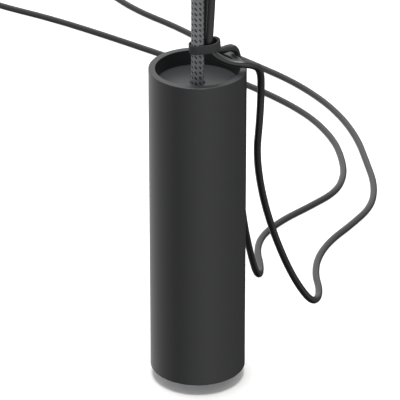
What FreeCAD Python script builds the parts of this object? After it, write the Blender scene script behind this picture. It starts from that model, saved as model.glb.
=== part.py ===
"""Floor weight of a taut braided rope, with the strap and the two supply cables that run down beside it.

The weight is a steel tube filled with a clamped stack of ballast slugs. The rope runs down through the
stack to a stopper in a chamber of the lowest slug. Frame: millimetres, +Z up, X to the right and Y to the
back, origin on the floor at the middle of the foot.
"""
import FreeCAD, Part
import math
import os

from FreeCAD import Vector

# ---------------------------------------------------------------- driving dimensions
# casing and foot
CASING_R = 40.0
CASING_WALL = 5.5
CASING_H = 275.0
CASING_FLOOR_GAP = 10.0
RIM_EDGE = 0.5
RECESS_DEPTH = 13.0
FOOT_R = 20.0
FOOT_RECESS = 1.0
FOOT_SCREW_COUNT = 3
FOOT_SCREW_CIRCLE_R = 12.0
FOOT_SCREW_LENGTH = 13.0
PAD_T = 2.5
PAD_MARGIN = 0.5
BASE_PLATE_T = 6.0
BASE_SEAT_WALL = 1.3
BASE_SCREW_COUNT = 6
BASE_SCREW_R = 1.25
BASE_SCREW_HEAD_R = 2.2
BASE_SCREW_LENGTH = 14.0
BASE_SCREW_INSET = 2.4

# top disc, ballast and the rods that clamp them
TOP_DISC_T = 10.0
DISC_EDGE = 0.4
SLUG_COUNT = 4
SLUG_CHAMFER = 1.0
SLUG_BORE_GAP = 1.65
ROD_COUNT = 3
ROD_R = 3.0
ROD_CIRCLE_R = 24.0
ROD_BITE = 6.5
ROD_SPARE = 2.0
NUT_FLATS = 10.0
NUT_H = 5.0
WASHER_R = 6.0
WASHER_T = 1.6
NUT_POCKET_R = 7.0
NUT_POCKET_DEPTH = 12.0
SLUG_SCREW_R = 2.5
SLUG_SCREW_HEAD_R = 4.6
SLUG_SCREW_CIRCLE_R = 28.5
SLUG_SCREW_LENGTH = 18.0

# rope, its bush and its stopper
ROPE_R = 5.35
CORE_R = 3.7
ROPE_TAIL = 4.0
ROPE_HOLE_GAP = 0.5
BUSH_WALL = 2.2
BUSH_H = 6.0
CHAMBER_R = 14.0
CHAMBER_DEPTH = 34.0
THRUST_WASHER_R = 13.0
THRUST_WASHER_T = 2.0
STOPPER_R = 11.0
STOPPER_H = 24.0
GRUB_R = 2.0
GRUB_LEVELS = 2

# rope terminal and swivel eye
TERMINAL_RISE = 129.0
TERMINAL_R = 8.5
TERMINAL_GRIP = 18.0
TERMINAL_CHAMBER = 7.0
TERMINAL_TOP_T = 5.0
SWIVEL_SHANK_R = 3.0
SWIVEL_NUT_R = 4.9
SWIVEL_NUT_H = 4.0
SWIVEL_COLLAR_R = 5.0
SWIVEL_COLLAR_H = 2.5
EYE_R = 10.5
EYE_BORE_R = 5.5
EYE_T = 6.0

# straps
STRAP_H = 7.6
STRAP_T = 1.2
STRAP_ROPE_GAP = 0.65
LOWER_STRAP_RISE = 18.0
LOWER_STRAP_TILT = 5.0
LOWER_STRAP_EYE = (8.6, 3.0, 8.0)
UPPER_STRAP_RISE = 77.0
UPPER_STRAP_TILT = 0.0
UPPER_STRAP_EYE = (9.6, 3.4, 9.3)
STRAP_LAP_FROM = 15.0
STRAP_LAP_TO = 75.0
STUD_R = 1.3
STUD_HEAD_R = 2.6
STUD_HEAD_T = 0.9

# cables and what is on them
CABLE_R = 3.15
FLOOR_Z = 3.25
ARC_SHARE = 0.45
RELIEF_R = 3.85
CONNECTOR_R = 4.8
CONNECTOR_RELIEF_H = 14.0
CONNECTOR_H = 24.0
CONNECTOR_WALL = 1.2
INSERT_DEPTH = 9.0
CONTACT_R = 0.9
CONTACT_PITCH = 3.6
COIL_MID_R = 32.0
COIL_ROWS = 3
COIL_LAYERS = 2
COIL_Z = 1.2
COIL_EDGE = 2.4
COIL_SLACK = 0.2
TIE_T = 0.8
TIE_W = 6.0
TIE_GAP = 0.25
PLUG_RELIEF_L = 24.0
PLUG_RELIEF_R = 5.2
PLUG_L = 36.0
PLUG_W = 33.0
PLUG_T = 14.0
PLUG_EDGE = 2.5
PIN_R = 2.0
PIN_CORE_R = 1.5
PIN_L = 19.0
PIN_SLEEVE_L = 10.0
PIN_ROOT = 8.0
PIN_PITCH = 18.6
PLUG_Z = 7.1

# clearances
SLIP = 0.05
SEAT = 0.25
FACE_GAP = 0.1

# cable A: from its connector down through both straps, over the right of the rim to the floor
CABLE_A = [
    (12.6, -1.5, 372), (11.4, -0.8, 346), (10, 0.2, 318), (8.8, 0, 298.8), (27, -4, 290),
    (42.5, -4, 290), (51.5, 7.5, 280.5), (52, 15, 254.5), (51, 19.5, 226), (48.8, 27, 193.5),
    (53.4, 40, 152), (63.3, 57.5, 106.5), (77, 78, 60.5), (89.5, 94.5, 28.5), (100, 105.5, 9.5),
    (106.5, 122, FLOOR_Z), (108, 141, FLOOR_Z), (105, 166.5, FLOOR_Z), (108.5, 198.5, FLOOR_Z),
    (121, 230.5, FLOOR_Z), (142, 262, FLOOR_Z), (162, 298, FLOOR_Z), (167, 341.5, FLOOR_Z),
    (161, 392, FLOOR_Z), (155, 438, FLOOR_Z), (143, 482.5, FLOOR_Z), (125, 524, FLOOR_Z),
    (96.5, 568, FLOOR_Z), (62.5, 604.5, FLOOR_Z), (26, 640.5, FLOOR_Z), (-18, 698, FLOOR_Z),
    (-65.5, 744.5, FLOOR_Z),
]
# cable B: from its connector down through both straps, over the back right of the rim to the floor
CABLE_B = [
    (7.8, 9, 372), (7.4, 7.6, 346), (7.1, 6.8, 318), (7.4, 6.8, 298.5), (18.5, 11, 294.5),
    (27.5, 20.5, 294.5), (33, 35.5, 282), (34.5, 49, 246), (33.5, 66, 196), (35, 90, 138),
    (40, 114.5, 83.5), (46.5, 136, 40.5), (52, 151.5, 12.5), (56, 165.5, FLOOR_Z),
    (56.5, 185.5, FLOOR_Z), (53.5, 210.5, FLOOR_Z), (58.5, 240, FLOOR_Z), (77.5, 270, FLOOR_Z),
    (105.5, 299, FLOOR_Z), (130, 327.5, FLOOR_Z), (139, 361.5, FLOOR_Z), (138, 398, FLOOR_Z),
    (132, 436, FLOOR_Z), (114, 482.5, FLOOR_Z), (87.5, 521, FLOOR_Z), (54.5, 557, FLOOR_Z),
    (12, 596.5, FLOOR_Z), (-37.5, 634, FLOOR_Z), (-91.5, 677.5, FLOOR_Z), (-152, 722.5, FLOOR_Z),
    (-209.5, 756.5, FLOOR_Z),
]
# coil middle (x, y), the bearing at which the cable leaves it and the bearing of its tie; wound clockwise
COIL_A = {"middle": (-78.5, 832.0), "leaves": 112.0, "tie": -25.0}
COIL_B = {"middle": (-230.5, 822.0), "leaves": 140.0, "tie": -15.0}
COIL_LEAD = 24.0
TAIL_STEP = 22.0
TAIL_SWAY = 3.0

# ---------------------------------------------------------------- derived sizes
BORE_R = CASING_R - CASING_WALL
CASING_TOP = CASING_FLOOR_GAP + CASING_H
RECESS_FLOOR = CASING_TOP - RECESS_DEPTH
BASE_PLATE_R = CASING_R - BASE_SEAT_WALL - SLIP * 2
BASE_PLATE_BOTTOM = CASING_FLOOR_GAP + FOOT_RECESS
BASE_PLATE_TOP = BASE_PLATE_BOTTOM + BASE_PLATE_T
FOOT_H = BASE_PLATE_BOTTOM - PAD_T
PAD_R = FOOT_R - PAD_MARGIN
BASE_SCREW_CIRCLE_R = BASE_PLATE_R - BASE_SCREW_INSET
DISC_R = BORE_R - SLIP
SLUG_R = BORE_R - SEAT
STACK_TOP = RECESS_FLOOR - TOP_DISC_T
SLUG_H = (STACK_TOP - BASE_PLATE_TOP) / SLUG_COUNT
SLUG_BORE_R = ROPE_R + SLUG_BORE_GAP
ROPE_HOLE_R = ROPE_R + ROPE_HOLE_GAP
CHAMBER_TOP = BASE_PLATE_TOP + CHAMBER_DEPTH
STOPPER_TOP = CHAMBER_TOP - THRUST_WASHER_T
STOPPER_BOTTOM = STOPPER_TOP - STOPPER_H
ROPE_BOTTOM = STOPPER_BOTTOM - ROPE_TAIL
TERMINAL_Z = CASING_TOP + TERMINAL_RISE
ROPE_TOP = TERMINAL_Z + TERMINAL_GRIP
TERMINAL_CEILING = ROPE_TOP + TERMINAL_CHAMBER
TERMINAL_TOP = TERMINAL_CEILING + TERMINAL_TOP_T
EYE_Z = TERMINAL_TOP + FACE_GAP + SWIVEL_COLLAR_H + EYE_R - 1.0
LOWER_STRAP_Z = CASING_TOP + LOWER_STRAP_RISE
UPPER_STRAP_Z = CASING_TOP + UPPER_STRAP_RISE
COIL_STEP_Z = 2 * CABLE_R * math.cos(math.radians(30))
COIL_R_IN = COIL_MID_R - COIL_ROWS * CABLE_R - COIL_SLACK
COIL_R_OUT = COIL_MID_R + COIL_ROWS * CABLE_R + COIL_SLACK
COIL_H = 2 * CABLE_R + (COIL_LAYERS - 1) * COIL_STEP_Z + COIL_SLACK

Z_AXIS = Vector(0, 0, 1)
os.makedirs("parts", exist_ok=True)


# ---------------------------------------------------------------- small tools
def cylinder(radius, bottom, top, x=0.0, y=0.0):
    return Part.makeCylinder(radius, top - bottom, Vector(x, y, bottom), Z_AXIS)


def ring(outer, inner, bottom, top):
    return cylinder(outer, bottom, top).cut(cylinder(inner, bottom - 1, top + 1))


def around(count, radius, start=0.0):
    """Places evenly spaced on a circle, as (x, y, bearing in degrees)."""
    for i in range(count):
        bearing = start + 360.0 * i / count
        turn = math.radians(bearing)
        yield radius * math.cos(turn), radius * math.sin(turn), bearing


def turned(shape, degrees, centre=Vector(0, 0, 0), axis=Z_AXIS):
    copy = shape.copy()
    copy.rotate(centre, axis, degrees)
    return copy


def moved(shape, x, y, z):
    copy = shape.copy()
    copy.translate(Vector(x, y, z))
    return copy


def aimed(shape, place, direction):
    """A shape built up +Z from the origin, put at a place and aimed along a direction."""
    copy = shape.copy()
    rotation = FreeCAD.Rotation(Z_AXIS, Vector(*direction))
    copy.Placement = FreeCAD.Placement(Vector(*place), rotation)
    return copy


def edges_at(shape, test):
    return [edge for edge in shape.Edges if test(edge)]


def level_circles(shape, height, radius):
    """Round edges of one radius that lie at one height."""
    def fits(edge):
        if not isinstance(edge.Curve, Part.Circle):
            return False
        level = abs(edge.Curve.Center.z - height) < 1e-4
        return level and abs(edge.Curve.Radius - radius) < 1e-4
    return edges_at(shape, fits)


def countersunk(x, y, bottom, radius, head_r, length):
    """A countersunk screw whose head's face is at the bottom, with a hexagon socket."""
    head_h = head_r - radius
    screw = cylinder(radius, bottom, bottom + length, x, y)
    head = Part.makeCone(head_r, radius, head_h, Vector(x, y, bottom), Z_AXIS)
    corners = [
        Vector(x + radius * 0.8 * math.cos(math.radians(60 * i)),
               y + radius * 0.8 * math.sin(math.radians(60 * i)), bottom)
        for i in range(7)
    ]
    socket = Part.Face(Part.makePolygon(corners)).extrude(Vector(0, 0, head_h))
    return screw.fuse(head).cut(socket).removeSplitter()


def countersink_hole(x, y, bottom, radius, head_r, depth):
    hole = cylinder(radius + SLIP, bottom - 1, bottom + depth, x, y)
    sink = Part.makeCone(head_r + SLIP, radius + SLIP, head_r - radius, Vector(x, y, bottom), Z_AXIS)
    return hole.fuse(sink)


def grub_screw(inner, outer, height, bearing):
    """A grub screw that lies along a radius, with its socket on the outside."""
    screw = Part.makeCylinder(GRUB_R, outer - inner, Vector(inner, 0, height), Vector(1, 0, 0))
    socket = Part.makeCylinder(GRUB_R * 0.5, GRUB_R, Vector(outer - GRUB_R, 0, height), Vector(1, 0, 0))
    return turned(screw.cut(socket), bearing)


def grub_hole(outer, height, bearing):
    hole = Part.makeCylinder(GRUB_R + SLIP, outer + 1, Vector(0, 0, height), Vector(1, 0, 0))
    return turned(hole, bearing)


def save(name, *solids):
    shape = solids[0] if len(solids) == 1 else Part.makeCompound(list(solids))
    shape.exportStep(os.path.join("parts", name + ".step"))


# ---------------------------------------------------------------- foot and base
def build_foot():
    """The round foot that keeps the casing's edge off the floor, its screws and its pad."""
    pad = cylinder(PAD_R, 0, PAD_T)
    pad = pad.makeFillet(0.6, level_circles(pad, 0, PAD_R))
    save("foot_pad", pad)

    boss = cylinder(FOOT_R, PAD_T, BASE_PLATE_BOTTOM)
    boss = boss.makeChamfer(0.8, level_circles(boss, PAD_T, FOOT_R))
    screws = []
    for x, y, _ in foot_screw_places():
        boss = boss.cut(countersink_hole(x, y, PAD_T, SLUG_SCREW_R, SLUG_SCREW_HEAD_R, FOOT_H + 1))
        screws.append(countersunk(x, y, PAD_T, SLUG_SCREW_R, SLUG_SCREW_HEAD_R, FOOT_SCREW_LENGTH))
    save("foot_boss", boss)
    save("foot_screws", *screws)


def foot_screw_places():
    return list(around(FOOT_SCREW_COUNT, FOOT_SCREW_CIRCLE_R, 90))


def base_screw_places():
    return list(around(BASE_SCREW_COUNT, BASE_SCREW_CIRCLE_R, 30))


def slug_screw_places():
    return list(around(ROD_COUNT, SLUG_SCREW_CIRCLE_R, 60))


def build_base_plate():
    plate = cylinder(BASE_PLATE_R, BASE_PLATE_BOTTOM, BASE_PLATE_TOP)
    depth = BASE_PLATE_T + 1
    for x, y, _ in base_screw_places():
        plate = plate.cut(countersink_hole(x, y, BASE_PLATE_BOTTOM, BASE_SCREW_R, BASE_SCREW_HEAD_R, depth))
    for x, y, _ in slug_screw_places():
        plate = plate.cut(countersink_hole(x, y, BASE_PLATE_BOTTOM, SLUG_SCREW_R, SLUG_SCREW_HEAD_R, depth))
    for x, y, _ in foot_screw_places():
        plate = plate.cut(cylinder(SLUG_SCREW_R + SLIP, BASE_PLATE_BOTTOM - 1, BASE_PLATE_TOP + 1, x, y))
    save("base_plate", plate)


def build_base_screws():
    save("base_screws", *[
        countersunk(x, y, BASE_PLATE_BOTTOM, BASE_SCREW_R, BASE_SCREW_HEAD_R, BASE_SCREW_LENGTH)
        for x, y, _ in base_screw_places()
    ])
    save("slug_screws", *[
        countersunk(x, y, BASE_PLATE_BOTTOM, SLUG_SCREW_R, SLUG_SCREW_HEAD_R, SLUG_SCREW_LENGTH)
        for x, y, _ in slug_screw_places()
    ])


def build_casing_tube():
    tube = ring(CASING_R, BORE_R, CASING_FLOOR_GAP, CASING_TOP)
    tube = tube.cut(cylinder(CASING_R - BASE_SEAT_WALL, CASING_FLOOR_GAP - 1, BASE_PLATE_TOP))
    screw_top = BASE_PLATE_BOTTOM + BASE_SCREW_LENGTH + 1
    for x, y, _ in base_screw_places():
        tube = tube.cut(cylinder(BASE_SCREW_R + SLIP, BASE_PLATE_BOTTOM, screw_top, x, y))
    rim = level_circles(tube, CASING_TOP, CASING_R) + level_circles(tube, CASING_TOP, BORE_R)
    tube = tube.makeFillet(RIM_EDGE, rim)
    save("casing_tube", tube)


# ---------------------------------------------------------------- ballast stack
def rod_places():
    return list(around(ROD_COUNT, ROD_CIRCLE_R))


def build_top_disc():
    disc = ring(DISC_R, ROPE_HOLE_R, STACK_TOP, RECESS_FLOOR)
    disc = disc.cut(cylinder(ROPE_R + SLIP + BUSH_WALL, STACK_TOP - 1, STACK_TOP + BUSH_H))
    for x, y, _ in rod_places():
        disc = disc.cut(cylinder(ROD_R + SLIP, STACK_TOP - 1, STACK_TOP + ROD_BITE + 0.5, x, y))
    disc = disc.makeChamfer(DISC_EDGE, level_circles(disc, RECESS_FLOOR, ROPE_HOLE_R))
    save("top_disc", disc)


def build_slugs():
    for i in range(SLUG_COUNT):
        bottom = BASE_PLATE_TOP + i * SLUG_H
        top = bottom + SLUG_H
        slug = ring(SLUG_R, SLUG_BORE_R, bottom, top)
        rims = level_circles(slug, bottom, SLUG_R) + level_circles(slug, top, SLUG_R)
        slug = slug.makeChamfer(SLUG_CHAMFER, rims)
        for x, y, _ in rod_places():
            slug = slug.cut(cylinder(ROD_R + SEAT, bottom - 1, top + 1, x, y))
        if i == 0:
            slug = slug.cut(cylinder(CHAMBER_R, bottom - 1, CHAMBER_TOP))
            for x, y, _ in rod_places():
                slug = slug.cut(cylinder(NUT_POCKET_R, bottom - 1, bottom + NUT_POCKET_DEPTH, x, y))
            screw_top = BASE_PLATE_BOTTOM + SLUG_SCREW_LENGTH + 1
            for x, y, _ in slug_screw_places():
                slug = slug.cut(cylinder(SLUG_SCREW_R + SLIP, bottom - 1, screw_top, x, y))
        save("ballast_slug_%d" % (i + 1), slug)


def build_tie_rods():
    washer_top = BASE_PLATE_TOP + NUT_POCKET_DEPTH
    nut_top = washer_top - WASHER_T
    nut_bottom = nut_top - NUT_H
    corner_r = NUT_FLATS / 2 / math.cos(math.radians(30))
    rods, washers, nuts = [], [], []
    for x, y, _ in rod_places():
        rods.append(cylinder(ROD_R, nut_bottom - ROD_SPARE, STACK_TOP + ROD_BITE, x, y))
        washers.append(moved(ring(WASHER_R, ROD_R + SEAT, nut_top, washer_top), x, y, 0))
        corners = [Vector(x + a, y + b, nut_bottom) for a, b, _ in around(6, corner_r)]
        corners.append(corners[0])
        nut = Part.Face(Part.makePolygon(corners)).extrude(Vector(0, 0, NUT_H))
        nuts.append(nut.cut(cylinder(ROD_R + SLIP, nut_bottom - 1, nut_top + 1, x, y)))
    save("tie_rods", *rods)
    save("tie_rod_washers", *washers)
    save("tie_rod_nuts", *nuts)


# ---------------------------------------------------------------- rope and its lower anchor
def build_rope():
    save("rope_core", cylinder(CORE_R, ROPE_BOTTOM, ROPE_TOP))
    save("rope_sheath", ring(ROPE_R, CORE_R + SLIP, ROPE_BOTTOM, ROPE_TOP))


def build_rope_bush():
    outer = ROPE_R + BUSH_WALL
    bush = ring(outer, ROPE_R + SLIP, STACK_TOP, STACK_TOP + BUSH_H - FACE_GAP)
    save("rope_bush", bush)


def grub_heights(bottom, height):
    return [bottom + height * (i + 0.5) / GRUB_LEVELS for i in range(GRUB_LEVELS)]


def build_rope_stopper():
    stopper = ring(STOPPER_R, ROPE_R + SLIP, STOPPER_BOTTOM, STOPPER_TOP)
    ends = level_circles(stopper, STOPPER_BOTTOM, STOPPER_R) + level_circles(stopper, STOPPER_TOP, STOPPER_R)
    stopper = stopper.makeChamfer(0.8, ends)
    screws = []
    for i, height in enumerate(grub_heights(STOPPER_BOTTOM, STOPPER_H)):
        stopper = stopper.cut(grub_hole(STOPPER_R, height, 90 + 180 * i))
        screws.append(grub_screw(ROPE_R + SLIP, STOPPER_R - 0.4, height, 90 + 180 * i))
    save("rope_stopper", stopper)
    save("stopper_grub_screws", *screws)
    save("thrust_washer", ring(THRUST_WASHER_R, ROPE_R + SEAT, STOPPER_TOP, CHAMBER_TOP))


# ---------------------------------------------------------------- rope terminal and swivel eye
def build_terminal():
    sleeve = cylinder(TERMINAL_R, TERMINAL_Z, TERMINAL_TOP)
    ends = level_circles(sleeve, TERMINAL_Z, TERMINAL_R) + level_circles(sleeve, TERMINAL_TOP, TERMINAL_R)
    sleeve = sleeve.makeFillet(1.2, ends)
    sleeve = sleeve.cut(cylinder(ROPE_R + SLIP, TERMINAL_Z - 1, TERMINAL_CEILING))
    sleeve = sleeve.cut(cylinder(SWIVEL_SHANK_R + SLIP, TERMINAL_CEILING - 1, TERMINAL_TOP + 1))
    screws = []
    for i, height in enumerate(grub_heights(TERMINAL_Z, TERMINAL_GRIP)):
        sleeve = sleeve.cut(grub_hole(TERMINAL_R, height, 90 + 180 * i))
        screws.append(grub_screw(ROPE_R + SLIP, TERMINAL_R - 0.3, height, 90 + 180 * i))
    save("rope_terminal", sleeve)
    save("terminal_grub_screws", *screws)


def build_swivel():
    nut_top = TERMINAL_CEILING - FACE_GAP
    nut_bottom = nut_top - SWIVEL_NUT_H
    collar_bottom = TERMINAL_TOP + FACE_GAP
    collar_top = collar_bottom + SWIVEL_COLLAR_H
    shank = cylinder(SWIVEL_SHANK_R, nut_bottom - 0.5, collar_top)
    collar = cylinder(SWIVEL_COLLAR_R, collar_bottom, collar_top)
    eye = Part.makeCylinder(EYE_R, EYE_T, Vector(0, -EYE_T / 2, EYE_Z), Vector(0, 1, 0))
    eye = eye.makeFillet(1.6, [edge for edge in eye.Edges if isinstance(edge.Curve, Part.Circle)])
    eye = eye.fuse(shank).fuse(collar).removeSplitter()
    bore = Part.makeCylinder(EYE_BORE_R, EYE_T + 2, Vector(0, -EYE_T / 2 - 1, EYE_Z), Vector(0, 1, 0))
    save("swivel_eye", eye.cut(bore))
    nut = ring(SWIVEL_NUT_R, SWIVEL_SHANK_R + SLIP, nut_bottom, nut_top)
    save("swivel_nut", nut)


# ---------------------------------------------------------------- straps
def hull_face(r1, centre, r2, z):
    """The face inside a belt round two circles: one at the origin, the other at centre."""
    span = math.hypot(*centre)
    bearing = math.atan2(centre[1], centre[0])
    open_angle = math.acos((r1 - r2) / span)
    spots = []
    for angle in (bearing + open_angle, bearing - open_angle):
        unit = Vector(math.cos(angle), math.sin(angle), 0)
        spots.append((unit * r1 + Vector(0, 0, z), unit * r2 + Vector(centre[0], centre[1], z)))
    far = Vector(centre[0] + r2 * math.cos(bearing), centre[1] + r2 * math.sin(bearing), z)
    near = Vector(-r1 * math.cos(bearing), -r1 * math.sin(bearing), z)
    edges = [
        Part.LineSegment(spots[0][0], spots[0][1]).toShape(),
        Part.Arc(spots[0][1], far, spots[1][1]).toShape(),
        Part.LineSegment(spots[1][1], spots[1][0]).toShape(),
        Part.Arc(spots[1][0], near, spots[0][0]).toShape(),
    ]
    return Part.Face(Part.Wire(edges))


def hull_solid(r1, eye, grow, bottom, top):
    face = hull_face(r1 + grow, eye[:2], eye[2] + grow, bottom)
    return face.extrude(Vector(0, 0, top - bottom))


def build_strap(prefix, height, tilt, eye):
    """A flat band whose ends lap at the back right, where a stud closes them."""
    bottom = height - STRAP_H / 2
    top = height + STRAP_H / 2
    inner_r = ROPE_R + STRAP_ROPE_GAP
    hollow = hull_solid(inner_r, eye, 0, bottom - 1, top + 1)
    band = hull_solid(inner_r, eye, STRAP_T, bottom, top)
    lap_r = eye[2] + 2 * STRAP_T
    lap = Part.makeCylinder(lap_r, STRAP_H, Vector(eye[0], eye[1], bottom), Z_AXIS, STRAP_LAP_TO - STRAP_LAP_FROM)
    lap.rotate(Vector(eye[0], eye[1], 0), Z_AXIS, STRAP_LAP_FROM)
    band = band.fuse(lap).cut(hollow)
    lap_middle = (STRAP_LAP_FROM + STRAP_LAP_TO) / 2
    aim = Vector(math.cos(math.radians(lap_middle)), math.sin(math.radians(lap_middle)), 0)
    middle = Vector(eye[0], eye[1], height)
    hole = Part.makeCylinder(STUD_R + SLIP, lap_r + 1, middle, aim)
    band = band.cut(hole)
    shank = Part.makeCylinder(STUD_R, lap_r - eye[2], middle + aim * eye[2], aim)
    head = Part.makeCylinder(STUD_HEAD_R, STUD_HEAD_T, middle + aim * lap_r, aim)
    rim = [edge for edge in head.Edges if isinstance(edge.Curve, Part.Circle)]
    outer = max(rim, key=lambda edge: (edge.Curve.Center - middle).Length)
    head = head.makeFillet(0.5, [outer])
    stud = shank.fuse(head).removeSplitter()
    pivot = Vector(0, 0, height)
    save(prefix, turned(band, -tilt, pivot, Vector(0, 1, 0)))
    save(prefix + "_stud", turned(stud, -tilt, pivot, Vector(0, 1, 0)))


# ---------------------------------------------------------------- cables
def cord_tube(name, points, radius):
    """Straight runs joined by tangent arcs, each as large as its two runs allow."""
    route = [Vector(*point) for point in points]
    edges = []
    reached = route[0]
    radii = []
    for before, here, after in zip(route, route[1:], route[2:]):
        back = (before - here).normalize()
        ahead = (after - here).normalize()
        half_turn = (math.pi - back.getAngle(ahead)) / 2
        trim = ARC_SHARE * min((here - before).Length, (after - here).Length)
        arc_r = trim / math.tan(half_turn)
        enter = here + back * trim
        leave = here + ahead * trim
        inward = (back + ahead).normalize()
        middle = here + inward * (math.hypot(arc_r, trim) - arc_r)
        edges.append(Part.LineSegment(reached, enter).toShape())
        edges.append(Part.Arc(enter, middle, leave).toShape())
        reached = leave
        radii.append(arc_r)
    edges.append(Part.LineSegment(reached, route[-1]).toShape())
    path = Part.Wire(edges)
    start = (route[1] - route[0]).normalize()
    section = Part.Wire(Part.makeCircle(radius, route[0], start))
    tube = path.makePipeShell([section], True, False)
    wanted = math.pi * radius ** 2 * path.Length
    print(name, "radii", " ".join("%.0f" % r for r in radii))
    print(name, "length %.0f volume share %.4f" % (path.Length, tube.Volume / wanted))
    return tube


def coil_solid(coil):
    """The outer shape of a wound coil: a ring whose section has broken corners."""
    edge = COIL_EDGE
    bottom = COIL_Z
    top = COIL_Z + COIL_H
    section = [
        (COIL_R_IN + edge, bottom), (COIL_R_OUT - edge, bottom), (COIL_R_OUT, bottom + edge),
        (COIL_R_OUT, top - 2 * edge), (COIL_R_OUT - 2 * edge, top), (COIL_R_IN + 2 * edge, top),
        (COIL_R_IN, top - 2 * edge), (COIL_R_IN, bottom + edge),
    ]
    corners = [Vector(x, 0, z) for x, z in section + section[:1]]
    face = Part.Face(Part.makePolygon(corners))
    body = face.revolve(Vector(0, 0, 0), Z_AXIS, 360)
    return moved(body, coil["middle"][0], coil["middle"][1], 0)


def coil_tie(coil):
    """A flat band round the coil's section."""
    inner = TIE_GAP
    outer = TIE_GAP + TIE_T
    width = COIL_R_OUT - COIL_R_IN
    band = Part.makeBox(width + 2 * outer, TIE_W, COIL_H + 2 * outer,
                        Vector(COIL_R_IN - outer, -TIE_W / 2, COIL_Z - outer))
    lengthwise = [edge for edge in band.Edges if abs(edge.tangentAt(edge.FirstParameter).y) > 0.9]
    band = band.makeFillet(1.0, lengthwise)
    hollow = Part.makeBox(width + 2 * inner, TIE_W + 2, COIL_H + 2 * inner,
                          Vector(COIL_R_IN - inner, -TIE_W / 2 - 1, COIL_Z - inner))
    return moved(turned(band.cut(hollow), coil["tie"]), coil["middle"][0], coil["middle"][1], 0)


def joining_turn(coil, before):
    """Where a line from the route's last point touches the coil's outer turn, and its direction."""
    gap = Vector(before[0] - coil["middle"][0], before[1] - coil["middle"][1], 0)
    outer = COIL_R_OUT - CABLE_R
    bearing = math.atan2(gap.y, gap.x) - math.acos(outer / gap.Length)
    middle = Vector(coil["middle"][0], coil["middle"][1], COIL_Z + CABLE_R)
    touch = middle + Vector(math.cos(bearing), math.sin(bearing), 0) * outer
    return touch, (touch - Vector(*before)).normalize()


def leaving_turn(coil):
    """The place on the coil's top layer where the cable leaves it, and its direction."""
    bearing = math.radians(coil["leaves"])
    outward = Vector(math.cos(bearing), math.sin(bearing), 0)
    ahead = Vector(math.sin(bearing), -math.cos(bearing), 0)
    middle = Vector(coil["middle"][0], coil["middle"][1], COIL_Z + COIL_H - CABLE_R)
    return middle + outward * (COIL_R_OUT - CABLE_R), ahead


def build_cable(letter, points, coil):
    """The cable's loose run, its coil with two short leads, its tail, and what is on its ends."""
    cable = "cable_" + letter
    touch, heading = joining_turn(coil, points[-1])
    joint = touch - heading * COIL_LEAD
    parting, ahead = leaving_turn(coil)
    second = parting + ahead * (COIL_LEAD + TAIL_STEP) + Vector(0, 0, PLUG_Z - parting.z)
    downhill = (second - parting).normalize()
    first = parting + downhill * COIL_LEAD
    sideways = Vector(-ahead.y, ahead.x, 0)
    third = second + ahead * TAIL_STEP - sideways * TAIL_SWAY
    lead_in = Part.makeCylinder(CABLE_R, COIL_LEAD, joint, heading)
    lead_out = Part.makeCylinder(CABLE_R, COIL_LEAD, parting, downhill)
    save(cable + "_coil", coil_solid(coil).fuse(lead_in).fuse(lead_out))
    save(cable + "_coil_tie", coil_tie(coil))
    save(cable, cord_tube(cable, points + [tuple(joint)], CABLE_R))
    save(cable + "_tail", cord_tube(cable + "_tail", [tuple(first), tuple(second), tuple(third)], CABLE_R))
    build_plug(letter, third, third - second)
    build_connector(letter, Vector(*points[0]), Vector(*points[0]) - Vector(*points[1]))


# ---------------------------------------------------------------- plugs and connectors
def build_plug(letter, place, direction):
    """A flat two-pin plug that lies on the floor, built along +X and turned to the cable's heading."""
    heading = math.degrees(math.atan2(direction.y, direction.x))

    def laid(shape):
        return moved(turned(shape, heading), place.x, place.y, place.z)

    along = Vector(1, 0, 0)
    relief = Part.makeCone(RELIEF_R, PLUG_RELIEF_R, PLUG_RELIEF_L, Vector(0, 0, 0), along)
    for i in range(4):
        groove_x = 5 + 3.6 * i
        groove = Part.makeCylinder(PLUG_RELIEF_R + 2, 1.2, Vector(groove_x, 0, 0), along)
        groove = groove.cut(Part.makeCylinder(RELIEF_R - 0.2 + 0.15 * i, 1.2, Vector(groove_x, 0, 0), along))
        relief = relief.cut(groove)
    save("plug_%s_relief" % letter, laid(relief))

    back = PLUG_RELIEF_L
    front = back + PLUG_L
    half = PLUG_W / 2
    outline = [
        (back, PLUG_RELIEF_R + 1.2), (back + PLUG_L * 0.42, half), (front - PLUG_L * 0.22, half),
        (front, half * 0.86), (front, -half * 0.86), (front - PLUG_L * 0.22, -half),
        (back + PLUG_L * 0.42, -half), (back, -PLUG_RELIEF_R - 1.2),
    ]
    corners = [Vector(x, y, -PLUG_T / 2) for x, y in outline + outline[:1]]
    body = Part.Face(Part.makePolygon(corners)).extrude(Vector(0, 0, PLUG_T))
    body = body.makeFillet(PLUG_EDGE, body.Edges)
    pins = []
    for side in (-1, 1):
        y = side * PIN_PITCH / 2
        sleeve = Part.makeCylinder(PIN_R, PIN_SLEEVE_L + 1, Vector(front - 1, y, 0), along)
        body = body.fuse(sleeve)
        bore_l = PIN_SLEEVE_L + PIN_ROOT
        body = body.cut(Part.makeCylinder(PIN_CORE_R, bore_l + 1, Vector(front - PIN_ROOT, y, 0), along))
        core = Part.makeCylinder(PIN_CORE_R, bore_l, Vector(front - PIN_ROOT, y, 0), along)
        tip = Part.makeCylinder(PIN_R, PIN_L - PIN_SLEEVE_L, Vector(front + PIN_SLEEVE_L, y, 0), along)
        circles = [edge for edge in tip.Edges if isinstance(edge.Curve, Part.Circle)]
        nose = max(circles, key=lambda edge: edge.Curve.Center.x)
        tip = tip.makeFillet(PIN_R * 0.6, [nose])
        pins.append(laid(core.fuse(tip).removeSplitter()))
    save("plug_%s_body" % letter, laid(body))
    save("plug_%s_pins" % letter, *pins)


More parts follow.
